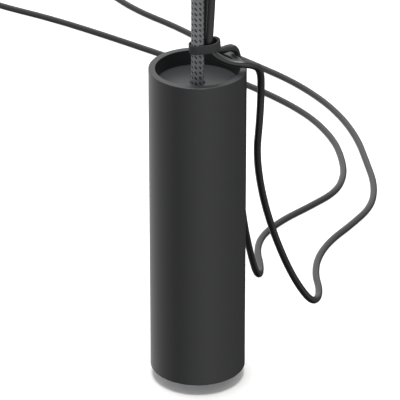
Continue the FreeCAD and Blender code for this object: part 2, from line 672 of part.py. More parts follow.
def build_connector(letter, place, direction):
    """A small round inline connector, aimed along the cable's end."""
    relief = Part.makeCone(RELIEF_R, CONNECTOR_R - 0.6, CONNECTOR_RELIEF_H, Vector(0, 0, 0), Z_AXIS)
    top = CONNECTOR_RELIEF_H + CONNECTOR_H
    body = cylinder(CONNECTOR_R, CONNECTOR_RELIEF_H, top)
    ends = level_circles(body, CONNECTOR_RELIEF_H, CONNECTOR_R) + level_circles(body, top, CONNECTOR_R)
    body = body.makeFillet(0.8, ends)
    pocket = cylinder(CONNECTOR_R - CONNECTOR_WALL, top - INSERT_DEPTH, top + 1)
    body = body.cut(pocket)
    insert = cylinder(CONNECTOR_R - CONNECTOR_WALL, top - INSERT_DEPTH, top - 1.5)
    for side in (-1, 1):
        insert = insert.cut(cylinder(CONTACT_R, top - INSERT_DEPTH + 1, top, side * CONTACT_PITCH / 2))
    save("connector_%s_relief" % letter, aimed(relief, place, direction))
    save("connector_%s_body" % letter, aimed(body, place, direction))
    save("connector_%s_insert" % letter, aimed(insert, place, direction))


# ---------------------------------------------------------------- make everything
build_foot()
build_base_plate()
build_base_screws()
build_casing_tube()
build_top_disc()
build_slugs()
build_tie_rods()
build_rope()
build_rope_bush()
build_rope_stopper()
build_terminal()
build_swivel()
build_strap("lower_strap", LOWER_STRAP_Z, LOWER_STRAP_TILT, LOWER_STRAP_EYE)
build_strap("upper_strap", UPPER_STRAP_Z, UPPER_STRAP_TILT, UPPER_STRAP_EYE)
build_cable("a", CABLE_A, COIL_A)
build_cable("b", CABLE_B, COIL_B)
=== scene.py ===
"""Floor weight of a taut braided rope, with two straps and two supply cables, finished for rendering."""
import math

import bpy
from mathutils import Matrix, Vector


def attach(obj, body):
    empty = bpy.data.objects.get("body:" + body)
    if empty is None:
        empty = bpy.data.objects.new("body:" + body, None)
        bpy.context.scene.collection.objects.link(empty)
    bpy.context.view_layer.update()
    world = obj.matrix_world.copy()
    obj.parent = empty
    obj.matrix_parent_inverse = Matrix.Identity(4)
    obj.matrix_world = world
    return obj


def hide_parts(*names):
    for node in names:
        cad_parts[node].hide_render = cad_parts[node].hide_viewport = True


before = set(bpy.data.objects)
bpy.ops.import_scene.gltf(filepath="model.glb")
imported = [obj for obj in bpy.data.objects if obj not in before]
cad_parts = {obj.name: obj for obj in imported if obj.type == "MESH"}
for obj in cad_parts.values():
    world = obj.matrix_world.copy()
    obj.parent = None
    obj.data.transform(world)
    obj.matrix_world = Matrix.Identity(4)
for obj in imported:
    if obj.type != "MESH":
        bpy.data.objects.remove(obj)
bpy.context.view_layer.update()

scene = bpy.context.scene

# ---------------------------------------------------------------- studio
# A long lens looks down at the weight from the front, and one broad soft light hangs overhead. The room is
# bright at the back left and in front, dim at the back right and below, with a brighter low panel in front.
# The floor is a sheet of white card that neither lights the weight nor shows in it.
ROOM_STRENGTH = 2.0
PANEL_GAIN = 2.2
lens = bpy.data.cameras.new("long_lens")
lens.sensor_width = 36.0
lens.lens = 295.65
lens.clip_end = 50.0
camera = bpy.data.objects.new("camera", lens)
camera.location = (0.0, -2.412, 1.414)
camera.rotation_euler = (math.radians(90 - 27.39), 0.0, math.radians(-0.047))
scene.collection.objects.link(camera)
scene.camera = camera
scene.view_settings.view_transform = "Standard"


def add_node(tree, kind, settings=None, sockets=None):
    """Adds a node; a socket given another node's output is linked to it."""
    node = tree.nodes.new(kind)
    for key, value in (settings or {}).items():
        setattr(node, key, value)
    for key, value in (sockets or {}).items():
        if isinstance(value, bpy.types.NodeSocket):
            tree.links.new(value, node.inputs[key])
        else:
            node.inputs[key].default_value = value
    return node


def set_stops(ramp, stops):
    """Gives a colour ramp node its stops, as (position, colour) from low to high."""
    elements = ramp.color_ramp.elements
    while len(elements) < len(stops):
        elements.new(0.5)
    for element, (position, colour) in zip(elements, stops):
        element.position = position
        element.color = colour


def room_stops(levels):
    """Room brightness by bearing in degrees: 0 is the viewer's side and +90 the right."""
    return [((bearing + 180) / 360, (level, level, level, 1.0)) for bearing, level in levels]


room = bpy.data.worlds.new("studio_room")
scene.world = room
room.use_nodes = True
tree = room.node_tree
tree.nodes.clear()
toward = add_node(tree, "ShaderNodeTexCoord").outputs["Generated"]
split = add_node(tree, "ShaderNodeSeparateXYZ", sockets={"Vector": toward})
front = add_node(tree, "ShaderNodeMath", {"operation": "MULTIPLY"}, {0: split.outputs["Y"], 1: -1.0})
bearing = add_node(tree, "ShaderNodeMath", {"operation": "ARCTAN2"},
                   {0: split.outputs["X"], 1: front.outputs[0]})
share = add_node(tree, "ShaderNodeMath", {"operation": "MULTIPLY_ADD"},
                 {0: bearing.outputs[0], 1: 0.5 / math.pi, 2: 0.5})
walls = add_node(tree, "ShaderNodeValToRGB", sockets={"Fac": share.outputs[0]})
set_stops(walls, room_stops([(-180, 0.50), (-130, 0.50), (-88, 0.36), (-66, 0.30), (-50, 0.20), (-20, 0.38),
                             (0, 0.46), (24, 0.55), (66, 0.40), (112, 0.17), (150, 0.05), (180, 0.05)]))
ceiling = add_node(tree, "ShaderNodeValToRGB", sockets={"Fac": share.outputs[0]})
set_stops(ceiling, room_stops([(-180, 0.68), (-130, 0.68), (-80, 0.36), (0, 0.25), (80, 0.30), (130, 0.60),
                               (180, 0.66)]))
height = add_node(tree, "ShaderNodeMapRange", {"interpolation_type": "SMOOTHSTEP"},
                  {"Value": split.outputs["Z"], "From Min": -0.1, "From Max": 0.25})
levels = add_node(tree, "ShaderNodeMix", {"data_type": "RGBA"},
                  {0: height.outputs["Result"], 6: walls.outputs["Color"], 7: ceiling.outputs["Color"]})
ground = add_node(tree, "ShaderNodeMapRange", {"interpolation_type": "SMOOTHSTEP"},
                  {"Value": split.outputs["Z"], "From Min": -0.85, "From Max": -0.6,
                   "To Min": 0.1, "To Max": 1.0})
panel_height = add_node(tree, "ShaderNodeValToRGB", sockets={"Fac": split.outputs["Z"]})
set_stops(panel_height, [(0.0, (0, 0, 0, 1)), (0.08, (1, 1, 1, 1)),
                         (0.40, (1, 1, 1, 1)), (0.55, (0, 0, 0, 1))])
panel_width = add_node(tree, "ShaderNodeMapRange", {"interpolation_type": "SMOOTHSTEP"},
                       {"Value": front.outputs[0], "From Min": 0.35, "From Max": 0.75})
panel = add_node(tree, "ShaderNodeMath", {"operation": "MULTIPLY"},
                 {0: panel_height.outputs["Color"], 1: panel_width.outputs["Result"]})
panel_glow = add_node(tree, "ShaderNodeMath", {"operation": "MULTIPLY_ADD"},
                      {0: panel.outputs[0], 1: PANEL_GAIN, 2: ground.outputs["Result"]})
strength = add_node(tree, "ShaderNodeMath", {"operation": "MULTIPLY"},
                    {0: panel_glow.outputs[0], 1: ROOM_STRENGTH})
glow = add_node(tree, "ShaderNodeBackground", sockets={
    "Color": levels.outputs[2], "Strength": strength.outputs[0]})
white = add_node(tree, "ShaderNodeBackground", sockets={"Color": (1, 1, 1, 1), "Strength": 1.0})
seen = add_node(tree, "ShaderNodeLightPath").outputs["Is Camera Ray"]
both = add_node(tree, "ShaderNodeMixShader", sockets={0: seen, 1: glow.outputs[0], 2: white.outputs[0]})
add_node(tree, "ShaderNodeOutputWorld", sockets={"Surface": both.outputs[0]})

softbox = bpy.data.lights.new("overhead_softbox", "SUN")
softbox.energy = 3.6
softbox.angle = math.radians(27)
overhead = bpy.data.objects.new("overhead_softbox", softbox)
overhead.rotation_euler = (0.0, math.radians(-1.5), 0.0)
scene.collection.objects.link(overhead)


def linear(hex_colour):
    """An sRGB hex value as the linear colour that a shader takes."""
    parts = [int(hex_colour[i:i + 2], 16) / 255 for i in (1, 3, 5)]
    return tuple(p / 12.92 if p <= 0.04045 else ((p + 0.055) / 1.055) ** 2.4 for p in parts) + (1.0,)


def start_finish(name, sockets):
    """A material with one shader on its output; returns the material, its tree and the shader."""
    material = bpy.data.materials.new(name)
    material.use_nodes = True
    material.node_tree.nodes.clear()
    shader = add_node(material.node_tree, "ShaderNodeBsdfPrincipled", sockets=sockets)
    add_node(material.node_tree, "ShaderNodeOutputMaterial", sockets={"Surface": shader.outputs["BSDF"]})
    return material, material.node_tree, shader


card = bpy.data.meshes.new("white_card")
reach = 12.0
card.from_pydata([(-reach, -reach, 0), (reach, -reach, 0), (reach, reach, 0), (-reach, reach, 0)], [],
                 [(0, 1, 2, 3)])
floor = bpy.data.objects.new("white_card_floor", card)
scene.collection.objects.link(floor)
card_finish, tree, shader = start_finish("matt_white_card", {
    "Base Color": linear("#dcdcdb"), "Roughness": 0.9})
card.materials.append(card_finish)
floor.visible_glossy = False
floor.visible_diffuse = False


# ---------------------------------------------------------------- foot, base plate and screws
# A round steel foot on a rubber pad lifts the casing's edge off the floor. It is screwed to the plate that
# closes the casing from below; plate, foot and screws are bright zinc, a fine, slightly cloudy silver.
def grained_finish(name, low, high, grain_mm, depth_mm, roughness, spread=0.04, stretch=(1, 1, 1), **sockets):
    """A finish whose colour, gloss and surface all vary with one grain of a real size."""
    given = {key.replace("_", " "): value for key, value in sockets.items()}
    material, tree, shader = start_finish(name, given)
    place = add_node(tree, "ShaderNodeTexCoord").outputs["Object"]
    mapping = add_node(tree, "ShaderNodeMapping", sockets={"Vector": place, "Scale": stretch})
    grain = add_node(tree, "ShaderNodeTexNoise", sockets={
        "Vector": mapping.outputs[0], "Scale": 1000 / grain_mm, "Detail": 3.0, "Roughness": 0.6})
    ramp = add_node(tree, "ShaderNodeValToRGB", sockets={"Fac": grain.outputs["Fac"]})
    set_stops(ramp, [(0.3, linear(low)), (0.7, linear(high))])
    gloss = add_node(tree, "ShaderNodeMapRange", sockets={
        "Value": grain.outputs["Fac"], "From Min": 0.3, "From Max": 0.7,
        "To Min": roughness + spread, "To Max": roughness - spread})
    relief = add_node(tree, "ShaderNodeBump", sockets={
        "Height": grain.outputs["Fac"], "Strength": 0.5, "Distance": depth_mm / 1000})
    tree.links.new(ramp.outputs["Color"], shader.inputs["Base Color"])
    tree.links.new(gloss.outputs["Result"], shader.inputs["Roughness"])
    tree.links.new(relief.outputs["Normal"], shader.inputs["Normal"])
    return material


def coat(material, *nodes):
    """Gives carried-over CAD nodes their finish."""
    for name in nodes:
        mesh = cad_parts[name].data
        mesh.materials.clear()
        mesh.materials.append(material)


zinc_plate = grained_finish("bright_zinc_plate", "#a9adb2", "#c9ccd0", 1.6, 0.01, 0.30, 0.06, Metallic=1.0)
coat(zinc_plate, "foot_boss", "foot_screws", "base_plate", "base_screws", "slug_screws")
foot_rubber = grained_finish("moulded_foot_rubber", "#141414", "#1c1c1c", 0.5, 0.03, 0.85, 0.03, IOR=1.52)
coat(foot_rubber, "foot_pad")

# ---------------------------------------------------------------- casing and top disc
# A steel tube, powder coated in satin black, which leaves a very fine orange peel and a soft sheen that is
# brightest at a low angle. The disc let into its top is sprayed in a satin graphite paint, a little lighter.
powder_coat = grained_finish("satin_black_powder_coat", "#131416", "#17181a", 0.9, 0.012, 0.38, 0.02, IOR=1.5)
coat(powder_coat, "casing_tube")
graphite_paint = grained_finish("satin_graphite_paint", "#2b2c2e", "#323335", 1.2, 0.008, 0.38, 0.03,
                                IOR=1.45)
coat(graphite_paint, "top_disc")

# ---------------------------------------------------------------- ballast, rods and nuts
# Four turned slugs of grey iron, lightly oiled, are clamped by zinc-plated rods, washers and nuts.
# Turning leaves fine rings on the iron.
oiled_iron = grained_finish("turned_grey_iron", "#4a4947", "#5c5a57", 2.0, 0.02, 0.48, 0.06, Metallic=0.85)
tree = oiled_iron.node_tree
place = add_node(tree, "ShaderNodeTexCoord").outputs["Object"]
rings = add_node(tree, "ShaderNodeTexWave", {"wave_type": "RINGS", "rings_direction": "Z"},
                 {"Vector": place, "Scale": 1000 / 0.8 / (2 * math.pi), "Distortion": 0.4})
grooves = add_node(tree, "ShaderNodeBump", sockets={
    "Height": rings.outputs["Fac"], "Strength": 0.5, "Distance": 0.00002,
    "Normal": tree.nodes["Bump"].outputs["Normal"]})
tree.links.new(grooves.outputs["Normal"], tree.nodes["Principled BSDF"].inputs["Normal"])
coat(oiled_iron, "ballast_slug_1", "ballast_slug_2", "ballast_slug_3", "ballast_slug_4")
coat(zinc_plate, "tie_rods", "tie_rod_washers", "tie_rod_nuts", "thrust_washer", "swivel_nut")

# ---------------------------------------------------------------- rope
# A kernmantle rope, 10.7 mm across: a white core in a braided sheath of sixteen yarns each way, over two and
# under two. The yarns of one turn are grey and every second one of the other is black, so dark spots climb it
# in columns.
ROPE_RADIUS = 0.00535
BRAID_PITCH = 0.0377
YARNS_EACH_WAY = 16
YARN_WIDTH = 0.00150
YARN_THICKNESS = 0.0008
STEPS_PER_TURN = 64
ROPE_ENDS = (0.021, 0.432)
BRAID_FROM, BRAID_TO = 0.2690, 0.4170


def spline_curve(name, points):
    """A smooth curve of one open spline whose control points are the route's points."""
    curve = bpy.data.curves.new(name, "CURVE")
    curve.dimensions = "3D"
    spline = curve.splines.new("NURBS")
    spline.points.add(len(points) - 1)
    for control, (x, y, z) in zip(spline.points, points):
        control.co = (x, y, z, 1.0)
    spline.order_u = 3
    spline.use_endpoint_u = True
    curve.resolution_u = 8
    return curve


def line_of(curve):
    """The points that a curve with no bevel runs through."""
    holder = bpy.data.objects.new("line", curve)
    mesh = bpy.data.meshes.new_from_object(holder)
    points = [vertex.co.copy() for vertex in mesh.vertices]
    bpy.data.meshes.remove(mesh)
    bpy.data.objects.remove(holder)
    return points


def add_tube(vertices, faces, tints, uvs, rings, tint, closed_ends=True):
    """Adds a tube given as rings of points to a mesh that is being built up."""
    first = len(vertices)
    around = len(rings[0])
    for ring in rings:
        vertices.extend(ring)
    for i in range(len(rings) - 1):
        for j in range(around):
            k = (j + 1) % around
            low, high = first + i * around, first + (i + 1) * around
            faces.append((low + j, low + k, high + k, high + j))
            tints.append(tint)
            left, right = j / around, (j + 1) / around
            uvs.append([(i, left), (i, right), (i + 1, right), (i + 1, left)])
    if closed_ends:
        last = first + (len(rings) - 1) * around
        for cap in (range(first + around - 1, first - 1, -1), range(last, last + around)):
            faces.append(tuple(cap))
            tints.append(tint)
            uvs.append([(0.0, 0.0)] * around)


def yarn_rings(side, index):
    """One sheath yarn: a flat bundle that winds round the rope and waves over and under the others."""
    lane = 2 * math.pi / YARNS_EACH_WAY
    slope = math.atan2(2 * math.pi * ROPE_RADIUS, BRAID_PITCH)
    middle = ROPE_RADIUS - YARN_THICKNESS * 0.95
    steps = STEPS_PER_TURN * (BRAID_TO - BRAID_FROM) / BRAID_PITCH
    rings = []
    for step in range(int(steps) + 1):
        height = BRAID_FROM + BRAID_PITCH * step / STEPS_PER_TURN
        crossing = 2 * index + side * 2 * YARNS_EACH_WAY * height / BRAID_PITCH
        wave = math.cos(math.pi / 2 * (crossing - 0.5)) * side
        wave = math.copysign(abs(wave) ** 0.6, wave)
        radius = middle + wave * YARN_THICKNESS * 0.45
        bearing = index * lane + side * 2 * math.pi * height / BRAID_PITCH
        outward = Vector((math.cos(bearing), math.sin(bearing), 0))
        sideways = Vector((-outward.y, outward.x, 0)) * side
        ahead = sideways * math.sin(slope) + Vector((0, 0, math.cos(slope)))
        across = ahead.cross(outward)
        centre = outward * radius + Vector((0, 0, height))
        ring = []
        for corner in range(8):
            turn = math.pi / 4 * (corner + 0.5)
            wide = across * (YARN_WIDTH / 2 * math.cos(turn))
            thick = outward * (YARN_THICKNESS / 2 * math.sin(turn))
            ring.append(centre + wide + thick)
        rings.append(ring)
    return rings


def round_rings(low, high, radius):
    """The rings of a plain stretch of rope, where the casing or the terminal hides the braid."""
    turns = [math.pi / 16 * k for k in range(32)]
    return [[Vector((radius * math.cos(turn), radius * math.sin(turn), height)) for turn in turns]
            for height in (low, (low + high) / 2, high)]


def place_mesh(name, vertices, faces, materials, tints=None, uvs=None):
    """Makes a smooth-shaded mesh object in the scene."""
    mesh = bpy.data.meshes.new(name)
    mesh.from_pydata([tuple(vertex) for vertex in vertices], [], faces)
    for material in materials:
        mesh.materials.append(material)
    if uvs:
        layer = mesh.uv_layers.new(name="yarn")
        flat = [pair for face in uvs for pair in face]
        for loop, pair in zip(layer.data, flat):
            loop.uv = pair
    for number, polygon in enumerate(mesh.polygons):
        polygon.use_smooth = True
        if tints:
            polygon.material_index = tints[number]
    obj = bpy.data.objects.new(name, mesh)
    scene.collection.objects.link(obj)
    return obj


def yarn_finish(name, dark, light):
    """Polyester yarn: a bundle of twisted filaments, drawn at 0.3 mm so that they show; the grooves between
    them are painted darker as shade.
    """
    material, tree, shader = start_finish(name, {
        "Roughness": 0.62, "IOR": 1.5, "Sheen Weight": 0.25, "Sheen Roughness": 0.5})
    along = add_node(tree, "ShaderNodeTexCoord").outputs["UV"]
    twist = add_node(tree, "ShaderNodeMapping", sockets={
        "Vector": along, "Rotation": (0, 0, math.radians(12)), "Scale": (0.35, 1.0, 1.0)})
    filaments = add_node(tree, "ShaderNodeTexWave", {"bands_direction": "Y"},
                         {"Vector": twist.outputs[0], "Scale": 3.5, "Distortion": 1.5, "Detail": 2.0})
    # The colour follows the filaments' relief: the low grooves get the dark colour as painted shade, the
    # raised filaments the yarn's own colour.
    ramp = add_node(tree, "ShaderNodeValToRGB", sockets={"Fac": filaments.outputs["Fac"]})
    set_stops(ramp, [(0.1, linear(dark)), (0.8, linear(light))])
    relief = add_node(tree, "ShaderNodeBump", sockets={
        "Height": filaments.outputs["Fac"], "Strength": 0.6, "Distance": 0.00008})
    tree.links.new(ramp.outputs["Color"], shader.inputs["Base Color"])
    tree.links.new(relief.outputs["Normal"], shader.inputs["Normal"])
    return material


# Each yarn's first colour is the painted shade in its filament grooves, the second is its own colour.
grey_yarn = yarn_finish("grey_polyester_yarn", "#3e4144", "#8f9194")
black_yarn = yarn_finish("black_polyester_yarn", "#0a0a0b", "#161617")
vertices, faces, tints, uvs = [], [], [], []
for side in (1, -1):
    for index in range(YARNS_EACH_WAY):
        add_tube(vertices, faces, tints, uvs, yarn_rings(side, index), index % 2 if side < 0 else 0)
add_tube(vertices, faces, tints, uvs, round_rings(ROPE_ENDS[0], BRAID_FROM + 0.001, ROPE_RADIUS - 0.0002), 0)
add_tube(vertices, faces, tints, uvs, round_rings(BRAID_TO - 0.001, ROPE_ENDS[1], ROPE_RADIUS - 0.0002), 0)
rope = place_mesh("braided_rope", vertices, faces, [grey_yarn, black_yarn], tints, uvs)
rope_line = line_of(spline_curve("rope_route", [(0, 0, ROPE_ENDS[0] + (ROPE_ENDS[1] - ROPE_ENDS[0]) * i / 6)
                                                for i in range(7)]))
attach(rope, "weight")
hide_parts("rope_sheath")
core_yarn = grained_finish("loose_white_core_yarn", "#c9c6bd", "#dedbd3", 0.6, 0.1, 0.8, 0.02, (1, 1, 0.1),
                           IOR=1.5)
coat(core_yarn, "rope_core")

# ---------------------------------------------------------------- rope bush, stopper, terminal and swivel eye
# A nylon bush guides the rope through the disc. The stopper below and the terminal above are bead-blasted,
# black anodised aluminium held by black grub screws; the swivel eye is satin nickel.
bush_nylon = grained_finish("moulded_black_nylon", "#1b1b1c", "#222223", 0.8, 0.01, 0.5, 0.04, IOR=1.53)
coat(bush_nylon, "rope_bush")
black_anodised = grained_finish("bead_blasted_black_anodised", "#212226", "#2a2b2f", 0.35, 0.015, 0.42, 0.05,
                                Metallic=0.75)
coat(black_anodised, "rope_stopper", "rope_terminal")
black_oxide = grained_finish("black_oxide_screw_steel", "#242529", "#303136", 0.7, 0.006, 0.34, 0.05,
                             Metallic=0.9)
coat(black_oxide, "stopper_grub_screws", "terminal_grub_screws")
satin_nickel = grained_finish("satin_nickel_plate", "#b3ada2", "#c6c0b5", 0.9, 0.006, 0.26, 0.05,
                              Metallic=1.0)
coat(satin_nickel, "swivel_eye")


# ---------------------------------------------------------------- straps
# Two flat elastomer bands hold the cables to the rope. Each starts at the back right, runs once round and
# laps over its own start, where a stud closes it. Its ends are rounded and its edges are broken.
ROPE_CLEAR = 0.00065
BAND_HEIGHT = 0.0076
BAND_THICKNESS = 0.0012


def band_section(width, thickness, edge):
    """A flat section with broken edges, as (across, out) pairs from the middle."""
    wide, thick = width / 2, thickness / 2
    return [(wide - edge, thick), (-wide + edge, thick), (-wide + edge * 0.3, thick - edge * 0.3),
            (-wide, thick - edge), (-wide, -thick + edge), (-wide + edge * 0.3, -thick + edge * 0.3),
            (-wide + edge, -thick), (wide - edge, -thick), (wide - edge * 0.3, -thick + edge * 0.3),
            (wide, -thick + edge), (wide, thick - edge), (wide - edge * 0.3, thick - edge * 0.3)]


def band_mesh(name, line, across, width, thickness, material):
    """A band swept along a line of points; its two ends are rounded over half its width."""
    lengths = [0.0]
    for before, here in zip(line, line[1:]):
        lengths.append(lengths[-1] + (here - before).length)
    rings = []
    for number, here in enumerate(line):
        before, after = line[max(number - 1, 0)], line[min(number + 1, len(line) - 1)]
        outward = (after - before).normalized().cross(across)
        end = min(lengths[number], lengths[-1] - lengths[number]) / (width * 0.5)
        share = math.sqrt(max(1 - (1 - min(end, 1.0)) ** 2, 0.02))
        rings.append([here + across * (u * share) + outward * v
                      for u, v in band_section(width, thickness, thickness * 0.25)])
    vertices, faces, tints, uvs = [], [], [], []
    add_tube(vertices, faces, tints, uvs, rings, 0)
    band = place_mesh(name, vertices, faces, [material])
    band.modifiers.new("flat_face_normals", "WEIGHTED_NORMAL")
    return band


def strap_line(eye, height, tilt):
    """A strap's middle line: inside the lap, round the cables and the rope, then over its own start."""
    rope_r = ROPE_RADIUS + ROPE_CLEAR + BAND_THICKNESS / 2
    eye_r = eye[2] + BAND_THICKNESS / 2
    bearing = math.degrees(math.atan2(eye[1], eye[0]))
    open_turn = math.degrees(math.acos((rope_r - eye_r) / math.hypot(eye[0], eye[1])))
    spots = []

    def arc(x, y, radius, start, end, lift_from=0.0, lift_to=0.0):
        count = max(int(abs(end - start) / 5), 2)
        for i in range(count + 1):
            turn = math.radians(start + (end - start) * i / count)
            lift = lift_from + (lift_to - lift_from) * (0.5 - 0.5 * math.cos(math.pi * i / count))
            spot_r = radius + lift
            spots.append(Vector((x + spot_r * math.cos(turn), y + spot_r * math.sin(turn), 0)))

    arc(eye[0], eye[1], eye_r, 16, bearing + open_turn)
    arc(0, 0, rope_r, bearing + open_turn, bearing + 360 - open_turn)
    arc(eye[0], eye[1], eye_r, bearing - open_turn, -14)
    arc(eye[0], eye[1], eye_r, -10, 14, 0.0, BAND_THICKNESS)
    arc(eye[0], eye[1], eye_r, 18, 74, BAND_THICKNESS, BAND_THICKNESS)
    slope = math.radians(tilt)
    return [Vector((p.x * math.cos(slope), p.y, height + p.x * math.sin(slope))) for p in spots], \
        Vector((-math.sin(slope), 0, math.cos(slope)))


elastomer = grained_finish("moulded_black_elastomer", "#1c1d1f", "#232426", 0.7, 0.02, 0.62, 0.03, IOR=1.5)
stud_plastic = grained_finish("moulded_stud_plastic", "#1a1b1d", "#202123", 0.5, 0.008, 0.38, 0.04, IOR=1.52)
for which, eye, height, tilt in (("lower_strap", (0.0086, 0.0030, 0.0080), 0.303, 5.0),
                                 ("upper_strap", (0.0096, 0.0034, 0.0093), 0.362, 0.0)):
    line, across = strap_line(eye, height, tilt)
    strap = band_mesh(which + "_band", line, across, BAND_HEIGHT, BAND_THICKNESS, elastomer)
    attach(strap, which)
    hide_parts(which)
    coat(stud_plastic, which + "_stud")

# ---------------------------------------------------------------- supply cables
# Two round two-core cables, 6.3 mm across, in extruded black PVC: satin, with a faint fine mottle in tone and
# surface.
# They come down with the rope, leave over the rim and lie on the floor in loose curves up to a tied coil.
# They cast no shadow, which keeps the white floor clean under the runs that lie on it.
CABLE_RADIUS = 0.00315
ON_FLOOR = 0.00325
CABLE_A_ROUTE = [
    (0.0126, -0.0015, 0.372), (0.0114, -0.0008, 0.346), (0.01, 0.0002, 0.318), (0.0088, 0, 0.2988),
    (0.027, -0.004, 0.29), (0.0425, -0.004, 0.29), (0.0515, 0.0075, 0.2805), (0.052, 0.015, 0.2545),
    (0.051, 0.0195, 0.226), (0.0488, 0.027, 0.1935), (0.0534, 0.04, 0.152), (0.0633, 0.0575, 0.1065),
    (0.077, 0.078, 0.0605), (0.0895, 0.0945, 0.0285), (0.1, 0.1055, 0.0095), (0.1065, 0.122, ON_FLOOR),
    (0.108, 0.141, ON_FLOOR), (0.105, 0.1665, ON_FLOOR), (0.1085, 0.1985, ON_FLOOR),
    (0.121, 0.2305, ON_FLOOR),
    (0.142, 0.262, ON_FLOOR), (0.162, 0.298, ON_FLOOR), (0.167, 0.3415, ON_FLOOR), (0.161, 0.392, ON_FLOOR),
    (0.155, 0.438, ON_FLOOR), (0.143, 0.4825, ON_FLOOR), (0.125, 0.524, ON_FLOOR), (0.0965, 0.568, ON_FLOOR),
    (0.0625, 0.6045, ON_FLOOR), (0.026, 0.6405, ON_FLOOR), (-0.018, 0.698, ON_FLOOR),
    (-0.0655, 0.7445, ON_FLOOR),
]
CABLE_B_ROUTE = [
    (0.0078, 0.009, 0.372), (0.0074, 0.0076, 0.346), (0.0071, 0.0068, 0.318), (0.0074, 0.0068, 0.2985),
    (0.0185, 0.011, 0.2945), (0.0275, 0.0205, 0.2945), (0.033, 0.0355, 0.282), (0.0345, 0.049, 0.246),
    (0.0335, 0.066, 0.196), (0.035, 0.09, 0.138), (0.04, 0.1145, 0.0835), (0.0465, 0.136, 0.0405),
    (0.052, 0.1515, 0.0125), (0.056, 0.1655, ON_FLOOR), (0.0565, 0.1855, ON_FLOOR),
    (0.0535, 0.2105, ON_FLOOR),
    (0.0585, 0.24, ON_FLOOR), (0.0775, 0.27, ON_FLOOR), (0.1055, 0.299, ON_FLOOR), (0.13, 0.3275, ON_FLOOR),
    (0.139, 0.3615, ON_FLOOR), (0.138, 0.398, ON_FLOOR), (0.132, 0.436, ON_FLOOR), (0.114, 0.4825, ON_FLOOR),
    (0.0875, 0.521, ON_FLOOR), (0.0545, 0.557, ON_FLOOR), (0.012, 0.5965, ON_FLOOR),
    (-0.0375, 0.634, ON_FLOOR), (-0.0915, 0.6775, ON_FLOOR), (-0.152, 0.7225, ON_FLOOR),
    (-0.2095, 0.7565, ON_FLOOR),
]
COIL_A_MIDDLE = (-0.0785, 0.832)
COIL_B_MIDDLE = (-0.2305, 0.822)
COIL_OUTER = 0.0385
COIL_ROW = 0.0065
COIL_LOW = 0.00435
COIL_HIGH = 0.0100
COIL_LEAD = 0.024
POINTS_PER_TURN = 14
PLUG_HEIGHT = 0.0071


def between(value, stops):
    """Eases from stop to stop of a list of (value, level)."""
    for (start, low), (end, high) in zip(stops, stops[1:]):
        if value <= end:
            share = min(max((value - start) / (end - start), 0.0), 1.0)
            return low + (high - low) * (0.5 - 0.5 * math.cos(math.pi * share))
    return stops[-1][1]


def wound_points(middle, last, leaves):
    """A coil wound clockwise: three turns side by side, a climb inside them, then turns on top of them."""
    gap = Vector((last[0] - middle[0], last[1] - middle[1]))
    joins = math.degrees(math.atan2(gap.y, gap.x) - math.acos(COIL_OUTER / gap.length))
    total = 1440 + (joins - leaves) % 360
    step = 360 / POINTS_PER_TURN
    inner = COIL_OUTER - 2 * COIL_ROW
    radii = [(300, COIL_OUTER), (360, COIL_OUTER - COIL_ROW), (660, COIL_OUTER - COIL_ROW), (720, inner),
             (1020, inner), (1080, inner + COIL_ROW / 2), (1180, inner + COIL_ROW / 2),
             (1260, inner + COIL_ROW * 1.5), (total - 50, inner + COIL_ROW * 1.5), (total, COIL_OUTER)]
    heights = [(880, COIL_LOW), (1020, COIL_HIGH + 0.0006), (1080, COIL_HIGH), (1160, COIL_HIGH),
               (1220, COIL_HIGH + 0.0007), (1280, COIL_HIGH), (1380, COIL_HIGH), (1410, COIL_HIGH + 0.0006),
               (1450, COIL_HIGH), (total, COIL_HIGH)]
    points = []
    joining = Vector((math.sin(math.radians(joins)), -math.cos(math.radians(joins)), 0))
    touch = Vector((middle[0] + COIL_OUTER * math.cos(math.radians(joins)),
                    middle[1] + COIL_OUTER * math.sin(math.radians(joins)), COIL_LOW))
    points.append(touch - joining * COIL_LEAD)
    for number in range(int(total / step)):
        swept = step * (number + 0.5)
        radius = between(swept, radii) / math.cos(math.radians(step / 2))
        bearing = math.radians(joins - swept)
        points.append(Vector((middle[0] + radius * math.cos(bearing), middle[1] + radius * math.sin(bearing),
                              between(swept, heights))))
    leaving = math.radians(leaves)
    ahead = Vector((math.sin(leaving), -math.cos(leaving), 0))
    sideways = Vector((-ahead.y, ahead.x, 0))
    parting = Vector((middle[0] + COIL_OUTER * math.cos(leaving), middle[1] + COIL_OUTER * math.sin(leaving),
                      COIL_HIGH))
    second = parting + ahead * 0.046 + Vector((0, 0, PLUG_HEIGHT - COIL_HIGH))
    points.append(parting + (second - parting).normalized() * COIL_LEAD)
    points.append(second)
    points.append(second + ahead * 0.022 - sideways * 0.003)
    return points


cable_pvc, tree, shader = start_finish("extruded_black_pvc", {"Roughness": 0.34, "IOR": 1.5})
place = add_node(tree, "ShaderNodeTexCoord").outputs["Object"]
grain = add_node(tree, "ShaderNodeTexNoise", sockets={"Vector": place, "Scale": 1000 / 1.2, "Detail": 2.0})
ramp = add_node(tree, "ShaderNodeValToRGB", sockets={"Fac": grain.outputs["Fac"]})
set_stops(ramp, [(0.3, linear("#121314")), (0.7, linear("#181919"))])
relief = add_node(tree, "ShaderNodeBump", sockets={
    "Height": grain.outputs["Fac"], "Strength": 0.4, "Distance": 0.00001})
tree.links.new(ramp.outputs["Color"], shader.inputs["Base Color"])
tree.links.new(relief.outputs["Normal"], shader.inputs["Normal"])

